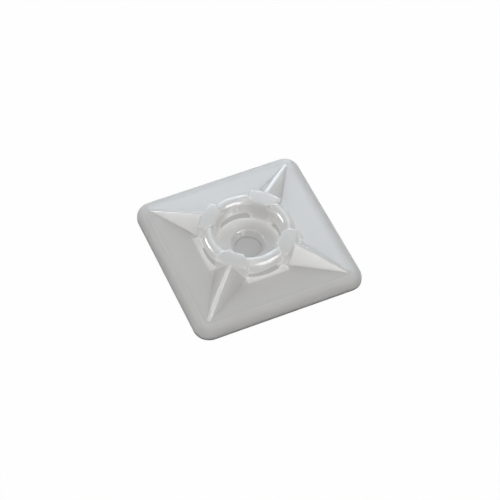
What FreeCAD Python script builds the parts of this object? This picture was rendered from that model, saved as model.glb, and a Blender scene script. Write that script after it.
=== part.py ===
import FreeCAD, Part
import math
import os

# Four-way cable tie mount, moulded in one piece. Millimetres, +Z up.
# The origin is the centre of the flat underside, and the tie slots run along X and Y.

# Base plate
BASE_SIDE = 28.0
CORNER_RADIUS = 2.5
RIM_HEIGHT = 1.9
SHOULDER_RADIUS = 1.5
FACE_RISE = 0.5
FLOOR_THICKNESS = 1.2

# Crown: four posts on the diagonals, joined by four bridges
HEIGHT = 5.2
POST_REACH = 7.85
POST_WIDTH = 5.2
WELL_RADIUS = 5.2
POST_ROUND = 0.4
BRIDGE_HEIGHT = 5.1
BRIDGE_OUTER_RADIUS = 7.3
BRIDGE_TOP_RISE = 0.65
BRIDGE_UNDER_ROUND = 0.3

# Tie slots under the bridges: they climb from the well's floor to a lip just below the face
SLOT_WIDTH = 5.4
SLOT_HEIGHT = 1.2
LIP_DEPTH = 0.2
LIP_LENGTH = 0.8

# Hip ribs from the posts to the corners of the base
CREST_WIDTH = 0.5
RIB_END_INSET = 1.6

# Screw hole
SCREW_HOLE_DIAMETER = 4.2
COUNTERSINK_DIAMETER = 5.6

# How far a cutting shape runs past what it cuts
OVERCUT = 1.0

QUARTER_TURNS = (0, 90, 180, 270)
DIAGONAL = 45
Y = FreeCAD.Vector(0, 1, 0)
Z = FreeCAD.Vector(0, 0, 1)
ORIGIN = FreeCAD.Vector(0, 0, 0)

half_side = BASE_SIDE / 2
half_slot = SLOT_WIDTH / 2
half_crest = CREST_WIDTH / 2
half_post = POST_WIDTH / 2
face_top = RIM_HEIGHT + FACE_RISE
face_slope = FACE_RISE / (half_side - POST_REACH)
corner_axis = half_side - CORNER_RADIUS
lip_height = face_top - LIP_DEPTH
hole_radius = SCREW_HOLE_DIAMETER / 2
countersink_radius = COUNTERSINK_DIAMETER / 2
countersink_depth = countersink_radius - hole_radius

# Along a diagonal: the outer corners of a post, and the end of a rib
post_corner_reach = math.sqrt(POST_REACH ** 2 - half_post ** 2)
base_corner_reach = corner_axis * math.sqrt(2) + CORNER_RADIUS
rib_end = base_corner_reach - RIB_END_INSET

# Between two posts: straight walls up to the throat, which then flare out to the mouth
throat_x = half_slot + half_post * math.sqrt(2)
mouth_x = (post_corner_reach + half_post) / math.sqrt(2)
half_mouth = (post_corner_reach - half_post) / math.sqrt(2)


def vector(x, y, z):
    return FreeCAD.Vector(x, y, z)


def turned(shape, degrees):
    copy = shape.copy()
    copy.rotate(ORIGIN, Z, degrees)
    return copy


def around(shape):
    """Four copies of a shape, a quarter turn apart."""
    return [turned(shape, angle) for angle in QUARTER_TURNS]


def cylinder(radius, z_low, z_high):
    return Part.makeCylinder(radius, z_high - z_low, vector(0, 0, z_low))


def polygon(points):
    return Part.makePolygon(points + [points[0]])


def rounded_outline(points, radii):
    """Closed wire through these points; a radius of 0 leaves a corner sharp."""
    edges = []
    starts = []
    for i, (corner, radius) in enumerate(zip(points, radii)):
        to_last = (points[i - 1] - corner).normalize()
        to_next = (points[(i + 1) % len(points)] - corner).normalize()
        half_angle = to_last.getAngle(to_next) / 2
        run = radius / math.tan(half_angle)
        starts.append((corner + to_last * run, corner + to_next * run))
        if radius > 0:
            middle = (to_last + to_next).normalize() * (radius / math.sin(half_angle) - radius)
            edges.append(Part.Arc(starts[i][0], corner + middle, starts[i][1]).toShape())
    for (_, leaving), (arriving, _) in zip(starts, starts[1:] + starts[:1]):
        edges.append(Part.LineSegment(leaving, arriving).toShape())
    return Part.Wire(Part.__sortEdges__(edges))


def rim_profile(inner_x):
    """Half section of the plate in XZ, from inner_x out to the rim: wall, round shoulder and face."""
    corners = [
        vector(inner_x, 0, 0),
        vector(half_side, 0, 0),
        vector(half_side, 0, RIM_HEIGHT),
        vector(inner_x, 0, RIM_HEIGHT + (half_side - inner_x) * face_slope),
    ]
    return Part.Face(rounded_outline(corners, (0, 0, SHOULDER_RADIUS, 0)))


def base_plate():
    """Square plate with a rounded rim, and four faces that rise gently to the crown."""
    half = rim_profile(0).extrude(Y * BASE_SIDE)
    half.translate(Y * -half_side)
    ridge = half.fuse(turned(half, 180))
    plate = ridge.common(turned(ridge, 90))
    plate = plate.common(Part.makeBox(BASE_SIDE, BASE_SIDE, face_top, vector(-half_side, -half_side, 0)))
    square = Part.makeBox(CORNER_RADIUS, CORNER_RADIUS, face_top, vector(corner_axis, corner_axis, 0))
    round_corner = rim_profile(corner_axis)
    round_corner = round_corner.revolve(vector(corner_axis, 0, 0), Z, 90)
    round_corner.translate(Y * corner_axis)
    for place in around(square):
        plate = plate.cut(place)
    for corner in around(round_corner):
        plate = plate.fuse(corner)
    return plate


def post():
    """Post on the +X+Y diagonal, with its outer end on the crown's circle and round upper edges."""
    bar = Part.makeBox(POST_REACH, POST_WIDTH, HEIGHT, vector(0, -half_post, 0))
    bar = bar.common(cylinder(POST_REACH, 0, HEIGHT))
    upper = [e for e in bar.Edges if e.BoundBox.ZMin > face_top and e.BoundBox.XMax > WELL_RADIUS]
    return turned(bar.makeFillet(POST_ROUND, upper), DIAGONAL)


def solid_between(section, other):
    """Solid with flat sides between two sections of as many corners."""
    faces = [Part.Face(polygon(section)), Part.Face(polygon(other))]
    for i in range(len(section)):
        j = (i + 1) % len(section)
        faces.append(Part.Face(polygon([section[i], section[j], other[j], other[i]])))
    return Part.makeSolid(Part.makeShell(faces))


def rib():
    """Hip rib that falls from a post's top to a corner of the base, as wide at its start as the post."""
    fall = (HEIGHT - RIM_HEIGHT) / (rib_end - POST_REACH)
    start_height = HEIGHT + fall * (POST_REACH - post_corner_reach)
    side_slope = (half_post - half_crest) / (start_height - face_top)

    def section(reach, crest_height):
        half_foot = half_crest + (crest_height - FLOOR_THICKNESS) * side_slope
        return [
            vector(reach, -half_foot, FLOOR_THICKNESS),
            vector(reach, half_foot, FLOOR_THICKNESS),
            vector(reach, half_crest, crest_height),
            vector(reach, -half_crest, crest_height),
        ]

    wedge = solid_between(section(post_corner_reach, start_height), section(rib_end, RIM_HEIGHT))
    return turned(wedge.common(cylinder(base_corner_reach, 0, HEIGHT)), DIAGONAL)


def space_between_posts(z_low, z_high):
    """Space between the two posts beside +X, from the axis out to the end of the slot's lip."""
    side = [
        (0, half_slot),
        (throat_x, half_slot),
        (mouth_x, half_mouth),
        (BRIDGE_OUTER_RADIUS + LIP_LENGTH, half_mouth),
    ]
    outline = side + [(x, -y) for x, y in reversed(side)]
    plan = Part.Face(polygon([vector(x, y, z_low) for x, y in outline]))
    return plan.extrude(Z * (z_high - z_low))


def window():
    """Opening from the underside up through the crown, between the posts beside +X."""
    ring = cylinder(BRIDGE_OUTER_RADIUS, -OVERCUT, HEIGHT + OVERCUT)
    ring = ring.cut(cylinder(WELL_RADIUS, -OVERCUT, HEIGHT + OVERCUT))
    return ring.common(space_between_posts(-OVERCUT, HEIGHT + OVERCUT))


def lip():
    """Shallow lead-in that falls from the face to the slot's lip beside +X."""
    side = Part.Face(polygon([
        vector(0, -half_side, lip_height),
        vector(BRIDGE_OUTER_RADIUS, -half_side, lip_height),
        vector(BRIDGE_OUTER_RADIUS + LIP_LENGTH, -half_side, face_top),
        vector(0, -half_side, face_top),
    ]))
    block = side.extrude(Y * BASE_SIDE).common(space_between_posts(0, face_top))
    return block.cut(cylinder(WELL_RADIUS, 0, HEIGHT))


def bridge_ring():
    """Ring of the bridges' section: round top, sloping underside. The posts swallow it between the slots."""
    crest = vector((WELL_RADIUS + BRIDGE_OUTER_RADIUS) / 2, 0, BRIDGE_HEIGHT)
    shoulder = BRIDGE_HEIGHT - BRIDGE_TOP_RISE
    inner_shoulder = vector(WELL_RADIUS, 0, shoulder)
    outer_shoulder = vector(BRIDGE_OUTER_RADIUS, 0, shoulder)
    body = Part.Face(rounded_outline([
        inner_shoulder,
        vector(WELL_RADIUS, 0, FLOOR_THICKNESS + SLOT_HEIGHT),
        vector(BRIDGE_OUTER_RADIUS, 0, lip_height + SLOT_HEIGHT),
        outer_shoulder,
    ], (0, 0, BRIDGE_UNDER_ROUND, 0)))
    top = Part.Arc(outer_shoulder, crest, inner_shoulder).toShape()
    chord = Part.LineSegment(inner_shoulder, outer_shoulder).toShape()
    section = body.fuse(Part.Face(Part.Wire([top, chord]))).removeSplitter()
    return turned(section.Faces[0].revolve(ORIGIN, Z, 360), DIAGONAL)


def screw_hole():
    """Through hole with a countersink that opens into the well."""
    profile = Part.Face(polygon([
        vector(0, 0, -OVERCUT),
        vector(hole_radius, 0, -OVERCUT),
        vector(hole_radius, 0, FLOOR_THICKNESS - countersink_depth),
        vector(countersink_radius, 0, FLOOR_THICKNESS),
        vector(countersink_radius, 0, HEIGHT),
        vector(0, 0, HEIGHT),
    ]))
    return profile.revolve(ORIGIN, Z, 360)


def mount_body():
    body = base_plate()
    for piece in around(post()) + around(rib()):
        body = body.fuse(piece)
    body = body.cut(cylinder(WELL_RADIUS, FLOOR_THICKNESS, HEIGHT + OVERCUT))
    for opening in around(window()) + around(lip()):
        body = body.cut(opening)
    body = body.fuse(bridge_ring())
    body = body.cut(screw_hole())
    return body.removeSplitter()


os.makedirs("parts", exist_ok=True)
mount = mount_body()
mount.exportStep("parts/mount_body.step")
print("mount_body", "valid", mount.isValid(), "solids", len(mount.Solids), "faces", len(mount.Faces))
print("volume", round(mount.Volume, 1))
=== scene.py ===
import math

import bpy
from mathutils import Matrix, Vector

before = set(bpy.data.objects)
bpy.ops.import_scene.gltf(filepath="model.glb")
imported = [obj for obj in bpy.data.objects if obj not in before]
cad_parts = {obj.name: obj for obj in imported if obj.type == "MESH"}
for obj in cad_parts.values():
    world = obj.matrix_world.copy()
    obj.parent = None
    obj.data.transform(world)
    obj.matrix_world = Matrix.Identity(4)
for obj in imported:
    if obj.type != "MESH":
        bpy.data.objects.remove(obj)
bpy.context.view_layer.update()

MM = 0.001
NODE = "mount_body"

# Camera: where it looks, from which side, and how it is turned about its own axis
CAMERA_TARGET = Vector((0, 0, 2)) * MM
CAMERA_AZIMUTH = -24.21
CAMERA_ELEVATION = 52.06
CAMERA_ROLL = 0.67
CAMERA_DISTANCE = 287 * MM
CAMERA_LENS = 132.0
# How far the target stands right of the middle of the frame and above it
TARGET_OFFSET = Vector((-0.30, 1.49)) * MM

# The base in plan: a square of this half side, with a rim of this width around it
INNER_HALF = 11.5 * MM
RIM_WIDTH = 2.5 * MM

# Natural nylon, with painted shade darkening its colour along the rim, and less shiny there
NYLON_COLOR = (0.67, 0.665, 0.655)
NYLON_IOR = 1.53
# Share of the nylon's colour left at the rim: painted shade
RIM_PAINTED_SHADE = 0.78
CROWN_ROUGHNESS = 0.15
RIM_ROUGHNESS = 0.6
CROWN_SHINE = 1.0
RIM_SHINE = 0.15
SCATTER_REACH = 5 * MM
EDGE_RADIUS = 0.3 * MM
# Painted glow: emission in the nylon's own hollows, standing in for light that the nylon lets
# through into them
PAINTED_HOLLOW_GLOW = 0.5
HOLLOW_REACH = 5 * MM
HOLLOW_OPENNESS = (0.15, 0.75)
# Rays of the nodes that look around a point
NODE_SAMPLES = 8

# Lights: azimuth and tilt from overhead in degrees; distance, width and height in mm; watts; colour
COOL = (0.88, 1.0, 1.1)
WARM = (1.04, 1.0, 0.96)
NEUTRAL = (1.0, 1.0, 1.0)
LIGHTS = {
    "front": (292, 40, 260, 180, 40, 0.1, WARM),
    "side": (150, 60, 260, 150, 40, 0.04, NEUTRAL),
    "low": (190, 74, 260, 100, 50, 0.03, NEUTRAL),
    "low_front": (244, 67, 260, 110, 40, 0.035, NEUTRAL),
    "back": (58, 50, 320, 220, 130, 0.145, COOL),
    "back_low": (66, 76, 320, 200, 120, 0.22, COOL),
    "top": (180, 8, 320, 200, 200, 0.125, NEUTRAL),
}
# Lights that show only as highlights along the bridges
GLINTS = {
    "near_glint": (298, 40, 260, 170, 100, 0.25, NEUTRAL),
    "right_glint": (143, 59, 260, 110, 80, 0.21, NEUTRAL),
    "far_glint": (285, 64, 260, 150, 50, 0.1, NEUTRAL),
}
WORLD_LEVEL = 0.35

# Floor: white all round; under the mount it is darker with painted shade, and a painted glow stands
# in for light that comes back up
FLOOR_SIDE = 3000 * MM
FLOOR_TONE = 0.9
FLOOR_GLOW = 0.97
UNDER_PAINTED_SHADE = 0.3
UNDER_PAINTED_GLOW = 0.23
# How far into the rim the painted shade and glow under the mount reach before they fade out
UNDER_EDGE = 1.2 * MM


def direction(azimuth, tilt):
    """Unit vector at an azimuth about Z and a tilt from overhead, both in degrees."""
    a, t = math.radians(azimuth), math.radians(tilt)
    return Vector((math.cos(a) * math.sin(t), math.sin(a) * math.sin(t), math.cos(t)))


def new_material(name):
    material = bpy.data.materials.new(name)
    material.use_nodes = True
    tree = material.node_tree
    tree.nodes.clear()
    return material, tree


def add_node(tree, kind, **values):
    """New node whose named inputs or properties get these values; a node's output is linked in."""
    node = tree.nodes.new(kind)
    for name, value in values.items():
        socket = node.inputs.get(name.replace("_", " "))
        if socket is None:
            setattr(node, name, value)
        elif isinstance(value, bpy.types.NodeSocket):
            tree.links.new(value, socket)
        else:
            socket.default_value = value
    return node


def rim_distance(tree):
    """Socket with a point's distance from the inner square in plan, up to the rim's width."""
    place = add_node(tree, "ShaderNodeTexCoord").outputs["Object"]
    # Any height falls below 0 by the last of the three values, so it doesn't count
    steps = (
        ("ABSOLUTE", None),
        ("SUBTRACT", (INNER_HALF, INNER_HALF, 1.0)),
        ("MAXIMUM", (0, 0, 0)),
    )
    for operation, value in steps:
        node = add_node(tree, "ShaderNodeVectorMath", operation=operation)
        tree.links.new(place, node.inputs[0])
        if value is not None:
            node.inputs[1].default_value = value
        place = node.outputs["Vector"]
    length = add_node(tree, "ShaderNodeVectorMath", operation="LENGTH")
    tree.links.new(place, length.inputs[0])
    return length.outputs["Value"]


def ramp(tree, value, span, first, last):
    """Socket that goes smoothly from first to last while value goes through span."""
    node = add_node(tree, "ShaderNodeMapRange", interpolation_type="SMOOTHSTEP", Value=value,
                    From_Min=span[0], From_Max=span[1], To_Min=first, To_Max=last)
    return node.outputs[0]


def nylon():
    """Milky semi-gloss nylon that light goes deep into, with softened edges, painted shade
    darkening it along the rim and a painted glow in its hollows.
    """
    material, tree = new_material("natural_nylon")
    edge = add_node(tree, "ShaderNodeBevel", samples=NODE_SAMPLES, Radius=EDGE_RADIUS)
    openness = add_node(tree, "ShaderNodeAmbientOcclusion", samples=NODE_SAMPLES, only_local=True,
                        Distance=HOLLOW_REACH)
    # Painted glow, stronger where the nylon is more closed in
    painted_glow = ramp(tree, openness.outputs["AO"], HOLLOW_OPENNESS, PAINTED_HOLLOW_GLOW, 0.0)
    reach = rim_distance(tree)

    def toward_rim(crown, rim):
        return ramp(tree, reach, (0.0, RIM_WIDTH), crown, rim)

    # Nylon colour darkened towards the rim: painted shade
    color = add_node(tree, "ShaderNodeVectorMath", operation="SCALE", Vector=NYLON_COLOR,
                     Scale=toward_rim(1.0, RIM_PAINTED_SHADE))
    surface = add_node(tree, "ShaderNodeBsdfPrincipled", Base_Color=color.outputs[0],
                       Roughness=toward_rim(CROWN_ROUGHNESS, RIM_ROUGHNESS), IOR=NYLON_IOR,
                       Specular_IOR_Level=toward_rim(CROWN_SHINE, RIM_SHINE),
                       Subsurface_Weight=1.0, Subsurface_Radius=(1.0, 1.0, 1.0),
                       Subsurface_Scale=SCATTER_REACH, Normal=edge.outputs[0],
                       Emission_Color=(*NYLON_COLOR, 1.0), Emission_Strength=painted_glow)
    output = add_node(tree, "ShaderNodeOutputMaterial")
    tree.links.new(surface.outputs["BSDF"], output.inputs["Surface"])
    return material


def make_floor():
    bpy.ops.mesh.primitive_plane_add(size=FLOOR_SIDE)
    floor = bpy.context.object
    floor.name = "floor"
    material, tree = new_material("white_floor")
    reach = rim_distance(tree)

    def by_edge(under, outside):
        return ramp(tree, reach, (UNDER_EDGE, RIM_WIDTH), under, outside)

    path = add_node(tree, "ShaderNodeLightPath")
    share = add_node(tree, "ShaderNodeMath", operation="MULTIPLY")
    tree.links.new(path.outputs["Is Camera Ray"], share.inputs[0])
    tree.links.new(by_edge(0.0, FLOOR_GLOW), share.inputs[1])
    # Darker floor colour under the mount: painted shade
    diffuse = add_node(tree, "ShaderNodeBsdfDiffuse", Color=by_edge(UNDER_PAINTED_SHADE, FLOOR_TONE))
    white = add_node(tree, "ShaderNodeEmission", Strength=1.0)
    mix = add_node(tree, "ShaderNodeMixShader")
    tree.links.new(share.outputs[0], mix.inputs[0])
    tree.links.new(diffuse.outputs[0], mix.inputs[1])
    tree.links.new(white.outputs[0], mix.inputs[2])
    # Glow under the mount: painted light coming back up
    under = add_node(tree, "ShaderNodeEmission", Strength=by_edge(UNDER_PAINTED_GLOW, 0.0))
    both = add_node(tree, "ShaderNodeAddShader")
    tree.links.new(mix.outputs[0], both.inputs[0])
    tree.links.new(under.outputs[0], both.inputs[1])
    output = add_node(tree, "ShaderNodeOutputMaterial")
    tree.links.new(both.outputs[0], output.inputs["Surface"])
    floor.data.materials.append(material)


def make_world():
    """World that the camera sees as white, and that lights the mount less."""
    world = bpy.data.worlds.new("studio")
    bpy.context.scene.world = world
    world.use_nodes = True
    tree = world.node_tree
    tree.nodes.clear()
    path = add_node(tree, "ShaderNodeLightPath")
    level = add_node(tree, "ShaderNodeMapRange", Value=path.outputs["Is Camera Ray"],
                     To_Min=WORLD_LEVEL, To_Max=1.0)
    background = add_node(tree, "ShaderNodeBackground", Color=(1, 1, 1, 1),
                          Strength=level.outputs["Result"])
    output = add_node(tree, "ShaderNodeOutputWorld")
    tree.links.new(background.outputs[0], output.inputs["Surface"])


def make_lights(rows, only_glossy):
    """Rectangular lights that face the origin."""
    for name, (azimuth, tilt, distance, width, height, power, color) in rows.items():
        data = bpy.data.lights.new(name, "AREA")
        data.shape = "RECTANGLE"
        data.size, data.size_y = width * MM, height * MM
        data.energy = power
        data.color = color
        toward = direction(azimuth, tilt)
        lamp = bpy.data.objects.new(name, data)
        lamp.location = toward * (distance * MM)
        lamp.rotation_euler = toward.to_track_quat("Z", "Y").to_euler()
        lamp.visible_diffuse = not only_glossy
        bpy.context.scene.collection.objects.link(lamp)


def make_camera():
    a, e = math.radians(CAMERA_AZIMUTH), math.radians(CAMERA_ELEVATION)
    back = Vector((math.sin(a) * math.cos(e), -math.cos(a) * math.cos(e), math.sin(e)))
    level = Vector((math.cos(a), math.sin(a), 0))
    right = Matrix.Rotation(math.radians(CAMERA_ROLL), 3, back) @ level
    up = back.cross(right)
    location = CAMERA_TARGET + back * CAMERA_DISTANCE
    aim = CAMERA_TARGET - right * TARGET_OFFSET.x - up * TARGET_OFFSET.y
    back = (location - aim).normalized()
    right = up.cross(back).normalized()
    up = back.cross(right)
    data = bpy.data.cameras.new("camera")
    data.lens = CAMERA_LENS
    camera = bpy.data.objects.new("camera", data)
    turn = Matrix((right, up, back)).transposed()
    camera.matrix_world = Matrix.Translation(location) @ turn.to_4x4()
    bpy.context.scene.collection.objects.link(camera)
    bpy.context.scene.camera = camera


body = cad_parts[NODE]
body.data.materials.clear()
body.data.materials.append(nylon())
make_floor()
make_world()
make_lights(LIGHTS, False)
make_lights(GLINTS, True)
make_camera()
bpy.context.scene.view_settings.view_transform = "Standard"
